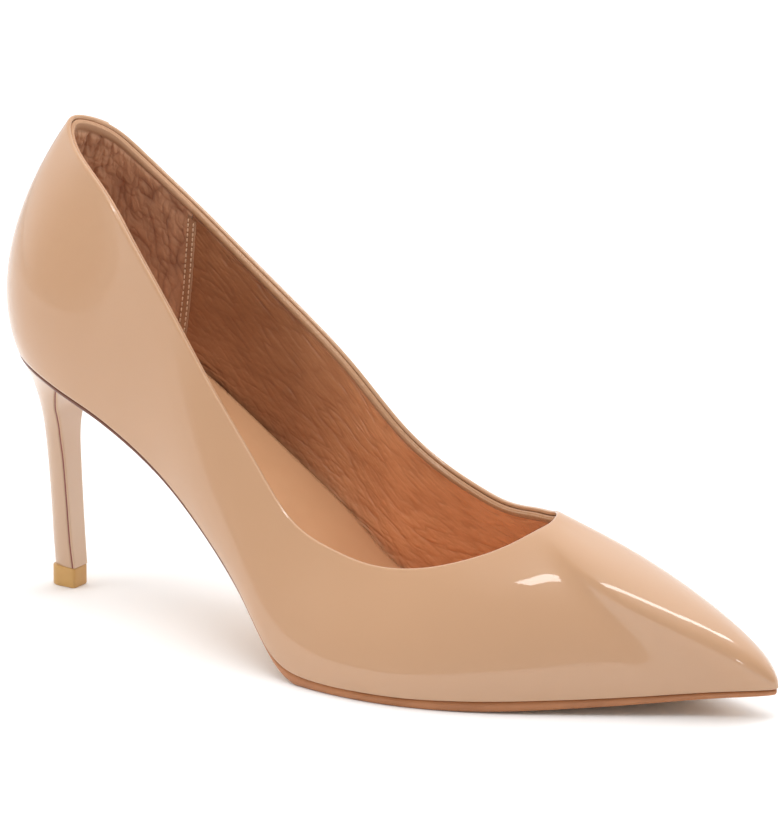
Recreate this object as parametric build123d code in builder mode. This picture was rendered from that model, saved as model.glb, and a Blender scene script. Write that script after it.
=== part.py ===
from build123d import *
from functools import cache
import math
import os

os.makedirs("parts", exist_ok=True)

# Right-foot pump, millimetres. Origin at the middle of the heel tip on the ground,
# +X towards the toe, +Y towards the inner side of the foot, +Z up.
#
# The last is given by stations round the shoe, from the back seam over the outer side
# and the toe to the inner side. Each row: feather point in plan (where upper meets sole),
# topline point, and how far the side bulges outwards low down and high up.
STATIONS = [
    ((-6, 14.5), (7.5, 10.5, 130), 7.0, 8.5),
    ((-13, 0), (2.5, 0, 134), 9.5, 12.5),
    ((-6, -14.5), (6, -6.5, 130.4), 7.0, 9.0),
    ((9, -22), (14.5, -12.5, 125.6), 3.8, 5.0),
    ((24, -23), (26.5, -17, 117.4), 2.0, 2.4),
    ((32, -23), (33.5, -18.8, 110), 1.6, 1.8),
    ((46, -23.6), (46, -20.5, 95), 1.6, 1.6),
    ((63, -27), (63, -22.6, 73.6), 2.2, 1.8),
    ((78, -31.2), (79.5, -24.8, 54.8), 2.4, 2.6),
    ((91, -35.5), (94, -27.2, 41), 1.8, 3.6),
    ((105, -38.4), (106.5, -28, 36.4), 1.2, 4.6),
    ((122, -38.8), (118.5, -27.6, 34.2), 1.2, 5.6),
    ((140, -35.4), (130.5, -25.4, 34.6), 1.2, 7.2),
    ((158, -28), (140.5, -21.6, 36.8), 1.2, 9.4),
    ((176, -17.6), (149, -15.2, 39.8), 1.2, 12.6),
    ((195, -6.2), (154.5, -9, 42.8), 1.0, 15.5),
    ((212, 3.4), (157.4, -3.6, 45), 1.0, 21.0),
    ((223.5, 10.2), (158.5, 1.8, 46.3), 0.8, 28.0),
    ((214, 15.6), (157, 6.4, 46.8), 1.0, 20.0),
    ((196, 20.6), (152.5, 10.8, 45.4), 1.0, 13.5),
    ((178, 26), (145.5, 15, 43.8), 1.2, 10.5),
    ((159, 31.8), (136.5, 20, 41.7), 1.2, 8.6),
    ((141, 35.8), (127, 24.6, 40.6), 1.2, 7.0),
    ((123, 37), (117, 27.5, 42), 1.2, 5.6),
    ((107, 34.8), (106, 28, 46.2), 1.4, 4.6),
    ((93, 30.6), (94.5, 26, 54.8), 2.2, 3.6),
    ((79, 26), (80, 23.8, 69.8), 3.0, 2.4),
    ((63, 22.2), (63, 22.4, 84), 3.4, 1.6),
    ((46, 21), (46.5, 20.9, 96.8), 3.0, 1.4),
    ((32, 21.4), (33, 19.4, 107.6), 2.6, 1.6),
    ((24, 21.8), (26, 18.3, 113.2), 2.8, 2.2),
    ((9, 21.6), (15, 15.4, 122.8), 3.8, 4.6),
]
SEAM = 0
TOE = 17
LOW_RISE = 0.29
HIGH_DROP = 0.28

# Side profile of the underside of the last, where upper meets sole.
BOTTOM_PROFILE = [
    (-15, 72.2), (0, 68.4), (12, 64.4), (28, 57.8), (46, 47.4), (63, 35.2), (78, 22.2),
    (91, 8), (98, 4.1), (107, 2.8), (123, 2.6), (141, 2.8), (176, 4.5), (200, 6.5), (225, 9.1),
]
PROFILE_STEP = 6
WAIST_SOLE = 1.5
WAIST_END = 88
TREAD_START = 100
TREAD_END = 142
TOE_PROFILE = [(TREAD_END, 0), (160, 0.6), (180, 2.2), (200, 4.4), (225, 7.4)]

# Fineness of the curves and faces of the side.
ROUND_COUNT = 96
DEGREE = 5
MARK_STEP = 0.0005
UP_STEP = 0.002
OVERLAP = 8

# Leathers and boards.
UPPER = 1.1
LINING = 0.8
LINING_DEPTH_TOP = 1.9
LINING_DEPTH_LOW = 3.0
LINING_START = 0.05
UPPER_START = 0.018
STIFFENER_DEPTH = 1.3
STIFFENER_CLEARANCE = 0.2
LASTING_MARGIN = 7.0
TOE_MARGIN = 3.6
SKIVED_EDGE = 0.8
TOE_REACH = 22
GAP = 0.15
SEAM_GAP = 0.0001
TAPE = 0.3
TAPE_LOW = 0.9
TAPE_HIGH = 0.985
COUNTER_HIGH = 0.72
PUFF_HIGH = 0.42
SEAM_STRIP = 0.5
SEAM_STRIP_CLEARANCE = 0.25
STRIP_LOW = 0.14
STRIP_HIGH = 0.975
STITCH_ROWS = (0.2, 0.8)
STITCH_R = 0.25
STITCH_LENGTH = 2.0
STITCH_LIFT = 0.05
STITCHES_PER_ROW = 13

# Bottom layers: insets from the feather line, heights above it, and where each one ends.
BOTTOM_INSET = 4.2
SOCK_INSET = 4.6
SOLE_INSET = 0.7
FILLER_INSET = 7.7
BOARD_LOW = 1.2
BOARD_HIGH = 3.0
FOAM_HIGH = 5.1
SOCK_HIGH = 6.0
HEEL_END_X = -20
BOARD_JOINT_X = 96
TOE_LIMIT = 212
OUTLINE_OVERRUN = 8
SOLE_END_X = 230
FILLER_START_X = 106
FILLER_END_X = 188
BLOCK_HEIGHT = 160
BLOCK_WIDTH = 60
UPWARDS = (Align.CENTER, Align.CENTER, Align.MIN)
DOWNWARDS = (Align.CENTER, Align.CENTER, Align.MAX)

# Shank, rivets, screw and nails, and the room round their heads.
SHANK_WIDTH = 12
SHANK_START = 16
SHANK_END = 104
RIVET_X = (24, 93)
RIVET_R = 1.6
RIVET_LENGTH = 2.9
RIVET_HEAD_R = 2.6
RIVET_HEAD = 0.5
SCREW_X = 0.5
SCREW_R = 2.0
SCREW_LENGTH = 18
SCREW_HEAD_R = 4.2
SCREW_HEAD = 1.6
NAIL_PLACES = [(0.5, 7.5), (0.5, -7.5), (5.5, 4.5), (5.5, -4.5)]
NAIL_R = 0.8
NAIL_LENGTH = 9
NAIL_HEAD_R = 1.6
NAIL_HEAD = 0.7
HEAD_ROOM = 0.4
FOAM_CUT = 6.0
FIT = 0.05

# Heel, from the top lift to the seat: height, back, front (breast) and half width.
HEEL_LEVELS = [
    (5.9, -4.1, 3.3, 3.1), (13, -4.6, 2.6, 3.4), (25, -5.3, 1.8, 3.6), (36, -6.1, 1.1, 3.9),
    (45, -7.0, 0.5, 4.8), (51, -7.9, 0.6, 6.6), (57, -9.4, 2.6, 10.2), (61, -11.0, 5.8, 15),
    (64, -11.6, 9.4, 19.2), (75, -12.0, 16, 20.6),
]
HEEL_WRAP = 0.7
WRAP_GAP = 0.1
BREAST_FLAP = 0.7
LIFT_HEIGHT = 5.8
PIN_R = 1.35
PIN_LOW = 2.0
PIN_HIGH = 16
TUBE_R = 2.0
TUBE_LOW = 6.2
TUBE_HIGH = 47
LIFT_BACK = -4.2
LIFT_FRONT = 4.1
LIFT_HALF = 3.2
HEEL_AXIS = Plane(origin=(-0.1, 0, 0), z_dir=(-0.07, 0, 1))


def bottom_height(x):
    """Height of the feather line at a length, on a smooth curve through the profile's points."""
    last = len(BOTTOM_PROFILE) - 1
    k = max(0, min(last - 1, sum(x >= point[0] for point in BOTTOM_PROFILE) - 1))
    (x0, z0), (x1, z1) = BOTTOM_PROFILE[k:k + 2]
    (xa, za), (xb, zb) = BOTTOM_PROFILE[max(k - 1, 0)], BOTTOM_PROFILE[min(k + 2, last)]
    slope0 = (z1 - za) / (x1 - xa)
    slope1 = (zb - z0) / (xb - x0)
    run = x1 - x0
    t = (x - x0) / run
    rise = z0 * (1 + 2 * t) * (1 - t) ** 2 + z1 * t ** 2 * (3 - 2 * t)
    return rise + run * (slope0 * t * (1 - t) ** 2 + slope1 * t ** 2 * (t - 1))


def profile_points(end, height):
    """Points along the bottom profile up to a length, raised or lowered by a height."""
    start = BOTTOM_PROFILE[0][0]
    count = round((end - start) / PROFILE_STEP)
    lengths = [start + (end - start) * k / count for k in range(count + 1)]
    return [(x, bottom_height(x) + height) for x in lengths]


def station_marks():
    """Position of every station along the rounds of the shoe, from 0 to 1."""
    marks = [0.0]
    for before, after in zip(STATIONS, STATIONS[1:] + STATIONS[:1]):
        step = math.dist(after[0], before[0]) + math.dist(after[1], before[1])
        marks.append(marks[-1] + step)
    return [mark / marks[-1] for mark in marks]


MARKS = station_marks()
OUTER_SEAM = MARKS[5]
INNER_SEAM = MARKS[29]
COUNTER_MARKS = (MARKS[28], MARKS[6])
PUFF_MARKS = (MARKS[14], MARKS[20])
SEAM_STRIP_MARKS = [(MARKS[4], MARKS[5]), (MARKS[29], MARKS[30])]


def closed_line(points):
    """Smooth line through one point per station, run on past the seam at both ends."""
    once = MARKS[:-1]
    marks = [mark - 1 for mark in once[-OVERLAP:]] + once + [mark + 1 for mark in once[:OVERLAP]]
    return Edge.make_spline([*points[-OVERLAP:], *points, *points[:OVERLAP]], parameters=marks)


FEATHER_LINE = closed_line([(*row[0], 0) for row in STATIONS])
TOPLINE = closed_line([row[1] for row in STATIONS])
BULGE_LINE = closed_line([(*row[2:], 0) for row in STATIONS])


def point_at(line, mark):
    """Point of a closed line at a mark."""
    return Vector(line.geom_adaptor().Value(mark % 1))


@cache
def side_plane(mark):
    """Plane across the side at a mark: x outwards, y up the side."""
    plan = point_at(FEATHER_LINE, mark)
    foot = Vector(plan.X, plan.Y, bottom_height(plan.X))
    along = point_at(FEATHER_LINE, mark + MARK_STEP) - point_at(FEATHER_LINE, mark - MARK_STEP)
    outward = Vector(along.Y, -along.X, 0).normalized()
    reach = point_at(TOPLINE, mark) - foot
    rise = reach - outward * reach.dot(outward)
    return Plane(origin=foot, x_dir=outward, z_dir=outward.cross(rise))


@cache
def side_poles(mark):
    """Control points of the side's curve in its plane."""
    top = side_plane(mark).to_local_coords(point_at(TOPLINE, mark))
    bulge = point_at(BULGE_LINE, mark)
    return [
        (0, 0), (bulge.X, LOW_RISE * top.Y),
        (top.X + bulge.Y, top.Y - HIGH_DROP * top.Y), (top.X, top.Y),
    ]


def curve_point(poles, up):
    """Point at the fraction up of a side's curve."""
    down = 1 - up
    weights = (down ** 3, 3 * up * down ** 2, 3 * up ** 2 * down, up ** 3)
    return tuple(sum(w * pole[k] for w, pole in zip(weights, poles)) for k in (0, 1))


def outer_point(mark, up):
    """Point of the outer face of the side, the fraction up between feather line and topline."""
    plane = side_plane(mark)
    return plane.from_local_coords(curve_point(side_poles(mark), up))


def side_point(mark, up, depth):
    """Point the given depth below the outer face of the side, square to it."""
    along = outer_point(mark + MARK_STEP, up) - outer_point(mark - MARK_STEP, up)
    rise = outer_point(mark, up + UP_STEP) - outer_point(mark, up - UP_STEP)
    return outer_point(mark, up) + rise.cross(along).normalized() * depth


def knots_between(start, end):
    """The start and end marks, and between them every station's mark and the ones half-way."""
    if end <= start:
        end += 1
    middles = [(before + after) / 2 for before, after in zip(MARKS, MARKS[1:])]
    once = sorted([*MARKS[:-1], *middles])
    turns = [mark + turn for turn in (0, 1) for mark in once]
    return [start, *[mark for mark in turns if start + MARK_STEP < mark < end - MARK_STEP], end]


def control_points(points):
    """Control points of the curve that passes evenly through the points."""
    order = range(DEGREE + 1)
    places = [k / DEGREE for k in order]
    rows = [[math.comb(DEGREE, k) * t ** k * (1 - t) ** (DEGREE - k) for k in order] for t in places]
    values = list(points)
    for k in order:
        for i in order:
            if i != k:
                share = rows[i][k] / rows[k][k]
                rows[i] = [a - share * b for a, b in zip(rows[i], rows[k])]
                values[i] = values[i] - values[k] * share
    return [values[k] / rows[k][k] for k in order]


def side_curve(mark, low, high, depth):
    """Control points of the line up the side between two heights, at a depth."""
    heights = [low + (high - low) * k / DEGREE for k in range(DEGREE + 1)]
    return control_points([side_point(mark, up, depth(up)) for up in heights])


def walls(section, bounds, start, end):
    """Smooth faces swept between two marks; section(mark) gives control points round the section."""
    knots = knots_between(start, end)
    here = [section(mark) for mark in knots]
    ahead = [section(mark + MARK_STEP) for mark in knots]
    behind = [section(mark - MARK_STEP) for mark in knots]
    slopes = [[(a - b) / (2 * MARK_STEP) for a, b in zip(*pair)] for pair in zip(ahead, behind)]
    faces = []
    for k in range(len(knots) - 1):
        reach = (knots[k + 1] - knots[k]) / 3
        leaving = [point + slope * reach for point, slope in zip(here[k], slopes[k])]
        arriving = [point - slope * reach for point, slope in zip(here[k + 1], slopes[k + 1])]
        net = [here[k], leaving, arriving, here[k + 1]]
        for first, last in zip(bounds, bounds[1:]):
            faces.append(Face.make_bezier_surface([row[first:last + 1] for row in net]))
    return faces


def layer(start, end, low, high, outer, inner):
    """One layer of the side between two marks, two heights and two depths."""
    def section(mark):
        outside = side_curve(mark, low, high, outer)
        inside = side_curve(mark, low, high, inner)
        return [*outside, *reversed(inside), outside[0]]

    bounds = (0, DEGREE, DEGREE + 1, 2 * DEGREE + 1, 2 * DEGREE + 2)
    ends = []
    for mark in (knots_between(start, end)[0], knots_between(start, end)[-1]):
        curve = section(mark)
        ends.append(Face.make_bezier_surface([curve[:DEGREE + 1], curve[2 * DEGREE + 1:DEGREE:-1]]))
    return Solid(Shell([*walls(section, bounds, start, end), *ends]))


def lining_depth(up):
    """Depth of the lining's outer face, which comes closer to the upper towards the topline."""
    return LINING_DEPTH_LOW + (LINING_DEPTH_TOP - LINING_DEPTH_LOW) * up


def lining_inner(up):
    """Depth of the lining's inner face."""
    return lining_depth(up) + LINING


def stiffener_inner(up):
    """Depth of the inner face of the counter and the toe puff, just clear of the lining."""
    return lining_depth(up) - STIFFENER_CLEARANCE


def upper_outer(_):
    """Depth of the upper's outer face."""
    return 0


def upper_inner(_):
    """Depth of the upper's inner face."""
    return UPPER


def stiffener_outer(_):
    """Depth of the outer face of whatever lies just inside the upper."""
    return STIFFENER_DEPTH


def tape_inner(_):
    """Depth of the inner face of the topline tape."""
    return STIFFENER_DEPTH + TAPE


def strip_outer(up):
    """Depth of a seam strip's face towards the lining."""
    return lining_inner(up) + SEAM_STRIP_CLEARANCE


def strip_inner(up):
    """Depth of a seam strip's face towards the foot."""
    return strip_outer(up) + SEAM_STRIP


def margin_point(mark, height):
    """Point on the free edge of the lasting margin, which narrows round the toe."""
    plane = side_plane(mark)
    reach = math.dist((plane.origin.X, plane.origin.Y), STATIONS[TOE][0]) / TOE_REACH
    margin = LASTING_MARGIN - (LASTING_MARGIN - TOE_MARGIN) * math.exp(-reach ** 2)
    edge = plane.origin - plane.x_dir * margin
    return Vector(edge.X, edge.Y, bottom_height(edge.X) + height)


def upper_section(mark):
    """Control points round the upper's section: outer face, inner face and turned-under margin."""
    outside = side_curve(mark, 0, 1, upper_outer)
    inside = side_curve(mark, UPPER_START, 1, upper_inner)
    margin = [margin_point(mark, SKIVED_EDGE), margin_point(mark, 0)]
    return [*outside, *reversed(inside), *margin, outside[0]]


def upper_end(mark):
    """Faces that close the upper's section at the back seam."""
    curve = upper_section(mark)
    inside = curve[2 * DEGREE + 1:DEGREE:-1]
    return [
        Face.make_bezier_surface([curve[:DEGREE + 1], inside]),
        Face.make_bezier_surface([[curve[0], inside[0]], [curve[-2], curve[-3]]]),
    ]


def bottom_outline(inset, start, end):
    """Plan outline of a bottom layer between two lengths, inset from the feather line."""
    rounds = [MARKS[TOE] + k / ROUND_COUNT for k in range(ROUND_COUNT)]
    places = [side_plane(mark).from_local_coords((-inset, 0)) for mark in rounds]
    limit = end + OUTLINE_OVERRUN if end < TOE_LIMIT else end
    kept = [(place.X, place.Y) for place in places if place.X < limit]
    with BuildSketch(mode=Mode.PRIVATE) as plan:
        with BuildLine():
            if len(kept) == len(places):
                Spline(*kept, periodic=True)
            else:
                Spline(*kept)
                Line(kept[-1], kept[0])
        make_face()
        with Locations(((start + end) / 2, 0)):
            Rectangle(end - start, 2 * BLOCK_WIDTH, mode=Mode.INTERSECT)
    return plan.sketch


def bottom_band(low, high):
    """Side profile of a layer lying between two heights above the feather line."""
    end = BOTTOM_PROFILE[-1][0]
    under = profile_points(end, low)
    over = profile_points(end, high)
    with BuildSketch(mode=Mode.PRIVATE) as band:
        with BuildLine():
            Spline(*under)
            Line(under[-1], over[-1])
            Spline(*over)
            Line(over[0], under[0])
        make_face()
    return band.sketch


def bottom_layer(inset, start, end, low, high):
    """Solid layer of the bottom between two lengths and two heights above the feather line."""
    with BuildPart(mode=Mode.PRIVATE) as body:
        with BuildSketch(Plane.XY):
            add(bottom_outline(inset, start, end))
        extrude(amount=BLOCK_HEIGHT)
        with BuildSketch(Plane.XZ):
            add(bottom_band(low, high))
        extrude(amount=BLOCK_WIDTH, both=True, mode=Mode.INTERSECT)
    return body.part


def bottom_plane(x, y, height):
    """Plane square to the seat or waist at a place, above the feather line."""
    slope = bottom_height(x + 1) - bottom_height(x - 1)
    normal = Vector(-slope / 2, 0, 1).normalized()
    return Plane(origin=Vector(x, y, bottom_height(x)) + normal * height, x_dir=(0, 1, 0), z_dir=normal)


def above_seat():
    """Side view of everything above the seat side of the outsole, for trimming the heel."""
    seat = profile_points(WAIST_END, -WAIST_SOLE - GAP)
    with BuildSketch(mode=Mode.PRIVATE) as region:
        with BuildLine():
            Spline(*seat)
            Polyline(seat[-1], (seat[-1][0], BLOCK_HEIGHT), (seat[0][0], BLOCK_HEIGHT), seat[0])
        make_face()
    return region.sketch


def heel_section(back, front, half):
    """Level section of the heel: flat breast, rounded back."""
    with BuildSketch(mode=Mode.PRIVATE) as section:
        with BuildLine():
            Spline((front, half), (back, 0), (front, -half), tangents=[(-1, 0), (1, 0)])
            Line((front, -half), (front, half))
        make_face()
    return section.sketch


def stitch_place(start, end, across, up):
    """Point just above a seam strip, part of the way from one edge to the other."""
    return side_point(start + (end - start) * across, up, strip_inner(up) + STITCH_R + STITCH_LIFT)


def stitch_plane(start, end, across, k):
    """Plane across one stitch, square to its row."""
    step = (STRIP_HIGH - STRIP_LOW) / (STITCHES_PER_ROW + 1)
    up = STRIP_LOW + step * (k + 1)
    middle = stitch_place(start, end, across, up)
    ahead = stitch_place(start, end, across, up + step / 2)
    behind = stitch_place(start, end, across, up - step / 2)
    return Plane(origin=middle, z_dir=ahead - behind)


# ---- Upper ---------------------------------------------------------------------------

# Patent upper, one piece closed by the seam at the back, its lasting margin turned under.
seam_start = MARKS[SEAM] + SEAM_GAP
seam_end = MARKS[SEAM] - SEAM_GAP
side_bounds = (0, DEGREE, DEGREE + 1, 2 * DEGREE + 1)
margin_bounds = (2 * DEGREE + 1, 2 * DEGREE + 2, 2 * DEGREE + 3, 2 * DEGREE + 4)
upper_faces = walls(upper_section, side_bounds + margin_bounds[1:], seam_start, seam_end)
with BuildPart() as outer_upper:
    add(Solid(Shell([*upper_faces, *upper_end(seam_start), *upper_end(seam_end)])))
outer_upper.part.label = "outer_upper"
export_step(outer_upper.part, "parts/outer_upper.step")

# Thin tape inside the edge, which keeps the topline from stretching.
with BuildPart() as topline_tape:
    add(layer(seam_start, seam_end, TAPE_LOW, TAPE_HIGH, stiffener_outer, tape_inner))
topline_tape.part.label = "topline_tape"
export_step(topline_tape.part, "parts/topline_tape.step")

# Stiff cup between upper and lining round the heel.
with BuildPart() as heel_counter:
    add(layer(*COUNTER_MARKS, LINING_START, COUNTER_HIGH, stiffener_outer, stiffener_inner))
heel_counter.part.label = "heel_counter"
export_step(heel_counter.part, "parts/heel_counter.step")

# Stiffener that holds the shape of the toe.
with BuildPart() as toe_puff:
    add(layer(*PUFF_MARKS, LINING_START, PUFF_HIGH, stiffener_outer, stiffener_inner))
toe_puff.part.label = "toe_puff"
export_step(toe_puff.part, "parts/toe_puff.step")

# Leather lining of the forepart and waist, from one lining seam to the other.
with BuildPart() as vamp_lining:
    add(layer(OUTER_SEAM + SEAM_GAP, INNER_SEAM - SEAM_GAP, LINING_START, 1, lining_depth, lining_inner))
vamp_lining.part.label = "vamp_lining"
export_step(vamp_lining.part, "parts/vamp_lining.step")

# Suede lining of the heel, between the same two seams.
with BuildPart() as heel_lining:
    add(layer(INNER_SEAM + SEAM_GAP, OUTER_SEAM - SEAM_GAP, LINING_START, 1, lining_depth, lining_inner))
heel_lining.part.label = "heel_lining"
export_step(heel_lining.part, "parts/heel_lining.step")

# Strips covering the two lining seams inside the shoe.
with BuildPart() as lining_seam_strips:
    for ends in SEAM_STRIP_MARKS:
        add(layer(*ends, STRIP_LOW, STRIP_HIGH, strip_outer, strip_inner))
lining_seam_strips.part.label = "lining_seam_strips"
export_step(lining_seam_strips.part, "parts/lining_seam_strips.step")

# Two rows of stitches down each strip.
with BuildPart() as lining_seam_stitches:
    for ends in SEAM_STRIP_MARKS:
        for across in STITCH_ROWS:
            for k in range(STITCHES_PER_ROW):
                with Locations(stitch_plane(*ends, across, k)):
                    Cylinder(STITCH_R, STITCH_LENGTH)
lining_seam_stitches.part.label = "lining_seam_stitches"
export_step(lining_seam_stitches.part, "parts/lining_seam_stitches.step")

# ---- Bottom --------------------------------------------------------------------------

# Front insole board.
with BuildPart() as insole_board:
    add(bottom_layer(BOTTOM_INSET, BOARD_JOINT_X, TOE_LIMIT, BOARD_LOW, BOARD_HIGH))
insole_board.part.label = "insole_board"
export_step(insole_board.part, "parts/insole_board.step")

# Stiff rear board from the heel seat to the ball, drilled for rivets, screw and nails.
with BuildPart() as tuck_board:
    add(bottom_layer(BOTTOM_INSET, HEEL_END_X, BOARD_JOINT_X - GAP, BOARD_LOW, BOARD_HIGH))
    with Locations(bottom_plane(SCREW_X, 0, BOARD_HIGH)):
        Cylinder(SCREW_R + FIT, SCREW_LENGTH, mode=Mode.SUBTRACT)
    for x, y in NAIL_PLACES:
        with Locations(bottom_plane(x, y, BOARD_HIGH)):
            Cylinder(NAIL_R + FIT, NAIL_LENGTH, mode=Mode.SUBTRACT)
    for x in RIVET_X:
        with Locations(bottom_plane(x, 0, BOARD_HIGH)):
            Cylinder(RIVET_R + FIT, NAIL_LENGTH, mode=Mode.SUBTRACT)
tuck_board.part.label = "tuck_board"
export_step(tuck_board.part, "parts/tuck_board.step")

# Spring steel shank under the rear board.
with BuildPart() as steel_shank:
    with BuildSketch(Plane.XY):
        with Locations(((SHANK_START + SHANK_END) / 2, 0)):
            SlotOverall(SHANK_END - SHANK_START, SHANK_WIDTH)
    extrude(amount=BLOCK_HEIGHT)
    with BuildSketch(Plane.XZ):
        add(bottom_band(GAP, BOARD_LOW - GAP))
    extrude(amount=BLOCK_WIDTH, both=True, mode=Mode.INTERSECT)
    for x in RIVET_X:
        with Locations(bottom_plane(x, 0, BOARD_HIGH)):
            Cylinder(RIVET_R + FIT, NAIL_LENGTH, mode=Mode.SUBTRACT)
steel_shank.part.label = "steel_shank"
export_step(steel_shank.part, "parts/steel_shank.step")

# Rivets holding the shank to the rear board.
with BuildPart() as shank_rivets:
    for x in RIVET_X:
        with Locations(bottom_plane(x, 0, BOARD_HIGH + GAP)):
            Cylinder(RIVET_HEAD_R, RIVET_HEAD, align=UPWARDS)
            Cylinder(RIVET_R, RIVET_LENGTH, align=DOWNWARDS)
shank_rivets.part.label = "shank_rivets"
export_step(shank_rivets.part, "parts/shank_rivets.step")

# Felt filler in the hollow between the lasting margins.
with BuildPart() as forefoot_filler:
    add(bottom_layer(FILLER_INSET, FILLER_START_X, FILLER_END_X, GAP, BOARD_LOW - GAP))
forefoot_filler.part.label = "forefoot_filler"
export_step(forefoot_filler.part, "parts/forefoot_filler.step")

# Foam cushion, cut away round the fastener heads.
with BuildPart() as sock_foam:
    add(bottom_layer(SOCK_INSET, HEEL_END_X, TOE_LIMIT, BOARD_HIGH + GAP, FOAM_HIGH))
    with Locations(bottom_plane(SCREW_X, 0, BOARD_HIGH)):
        Cylinder(SCREW_HEAD_R + HEAD_ROOM, FOAM_CUT, mode=Mode.SUBTRACT)
    for x, y in NAIL_PLACES:
        with Locations(bottom_plane(x, y, BOARD_HIGH)):
            Cylinder(NAIL_HEAD_R + HEAD_ROOM, FOAM_CUT, mode=Mode.SUBTRACT)
    for x in RIVET_X:
        with Locations(bottom_plane(x, 0, BOARD_HIGH)):
            Cylinder(RIVET_HEAD_R + HEAD_ROOM, FOAM_CUT, mode=Mode.SUBTRACT)
sock_foam.part.label = "sock_foam"
export_step(sock_foam.part, "parts/sock_foam.step")

# Leather sock lining, the surface the foot stands on.
with BuildPart() as sock_lining:
    add(bottom_layer(SOCK_INSET, HEEL_END_X, TOE_LIMIT, FOAM_HIGH + GAP, SOCK_HIGH))
sock_lining.part.label = "sock_lining"
export_step(sock_lining.part, "parts/sock_lining.step")

# Outsole: thin at the seat and waist, with a flat tread under the ball and toe spring.
waist = profile_points(WAIST_END, -WAIST_SOLE)
sole_top = profile_points(BOTTOM_PROFILE[-1][0], -GAP)
with BuildPart() as outsole:
    with BuildSketch(Plane.XY):
        add(bottom_outline(SOLE_INSET, HEEL_END_X, SOLE_END_X))
    extrude(amount=BLOCK_HEIGHT)
    with BuildSketch(Plane.XZ):
        with BuildLine():
            Spline(*waist, (TREAD_START, 0))
            Line((TREAD_START, 0), (TREAD_END, 0))
            Spline(*TOE_PROFILE)
            Line(TOE_PROFILE[-1], sole_top[-1])
            Spline(*sole_top)
            Line(sole_top[0], waist[0])
        make_face()
    extrude(amount=BLOCK_WIDTH, both=True, mode=Mode.INTERSECT)
    with Locations(bottom_plane(SCREW_X, 0, 0)):
        Cylinder(SCREW_R + FIT, SCREW_LENGTH, mode=Mode.SUBTRACT)
    for x, y in NAIL_PLACES:
        with Locations(bottom_plane(x, y, 0)):
            Cylinder(NAIL_R + FIT, NAIL_LENGTH, mode=Mode.SUBTRACT)
outsole.part.label = "outsole"
export_step(outsole.part, "parts/outsole.step")

# ---- Heel ----------------------------------------------------------------------------

# Moulded heel block, bored for the tube, the screw and the nails.
with BuildPart() as heel_block:
    for z, back, front, half in HEEL_LEVELS:
        with BuildSketch(Plane.XY.offset(z)):
            add(heel_section(back + HEEL_WRAP + WRAP_GAP, front - FIT, half - HEEL_WRAP - WRAP_GAP))
    loft()
    with BuildSketch(Plane.XZ):
        add(above_seat())
    extrude(amount=BLOCK_WIDTH, both=True, mode=Mode.SUBTRACT)
    with Locations(HEEL_AXIS):
        Cylinder(TUBE_R + FIT, TUBE_HIGH + FIT, align=UPWARDS, mode=Mode.SUBTRACT)
    with Locations(bottom_plane(SCREW_X, 0, BOARD_HIGH)):
        Cylinder(SCREW_R + FIT, SCREW_LENGTH + FIT, align=DOWNWARDS, mode=Mode.SUBTRACT)
    for x, y in NAIL_PLACES:
        with Locations(bottom_plane(x, y, BOARD_HIGH)):
            Cylinder(NAIL_R + FIT, NAIL_LENGTH + FIT, align=DOWNWARDS, mode=Mode.SUBTRACT)
heel_block.part.label = "heel_block"
export_step(heel_block.part, "parts/heel_block.step")

# Patent wrap over the back and sides of the block.
with BuildPart() as heel_cover:
    for z, back, front, half in HEEL_LEVELS:
        with BuildSketch(Plane.XY.offset(z)):
            add(heel_section(back, front, half))
            add(heel_section(back + HEEL_WRAP, front, half - HEEL_WRAP), mode=Mode.SUBTRACT)
    loft()
    with BuildSketch(Plane.XZ):
        add(above_seat())
    extrude(amount=BLOCK_WIDTH, both=True, mode=Mode.SUBTRACT)
heel_cover.part.label = "heel_cover"
export_step(heel_cover.part, "parts/heel_cover.step")

# Patent flap over the breast, with a cut edge down each side.
with BuildPart() as heel_breast_cover:
    for z, back, front, half in HEEL_LEVELS:
        with BuildSketch(Plane.XY.offset(z)):
            with Locations((front + FIT + BREAST_FLAP / 2, 0)):
                Rectangle(BREAST_FLAP, 2 * half)
    loft()
    with BuildSketch(Plane.XZ):
        add(above_seat())
    extrude(amount=BLOCK_WIDTH, both=True, mode=Mode.SUBTRACT)
heel_breast_cover.part.label = "heel_breast_cover"
export_step(heel_breast_cover.part, "parts/heel_breast_cover.step")

# Steel tube that stiffens the slender part of the heel.
with BuildPart() as heel_tube:
    with Locations(HEEL_AXIS.offset(TUBE_LOW)):
        Cylinder(TUBE_R, TUBE_HIGH - TUBE_LOW, align=UPWARDS)
        Cylinder(PIN_R + FIT, TUBE_HIGH - TUBE_LOW, align=UPWARDS, mode=Mode.SUBTRACT)
heel_tube.part.label = "heel_tube"
export_step(heel_tube.part, "parts/heel_tube.step")

# Top lift that meets the ground, moulded on its pin.
with BuildPart() as top_lift:
    with BuildSketch(Plane.XY):
        add(heel_section(LIFT_BACK, LIFT_FRONT, LIFT_HALF))
    extrude(amount=LIFT_HEIGHT)
    with Locations(HEEL_AXIS.offset(PIN_LOW)):
        Cylinder(PIN_R + FIT, LIFT_HEIGHT, align=UPWARDS, mode=Mode.SUBTRACT)
top_lift.part.label = "top_lift"
export_step(top_lift.part, "parts/top_lift.step")

# Steel pin of the top lift, driven up into the tube.
with BuildPart() as top_lift_pin:
    with Locations(HEEL_AXIS.offset(PIN_LOW + FIT)):
        Cylinder(PIN_R, PIN_HIGH - PIN_LOW, align=UPWARDS)
top_lift_pin.part.label = "top_lift_pin"
export_step(top_lift_pin.part, "parts/top_lift_pin.step")

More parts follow.
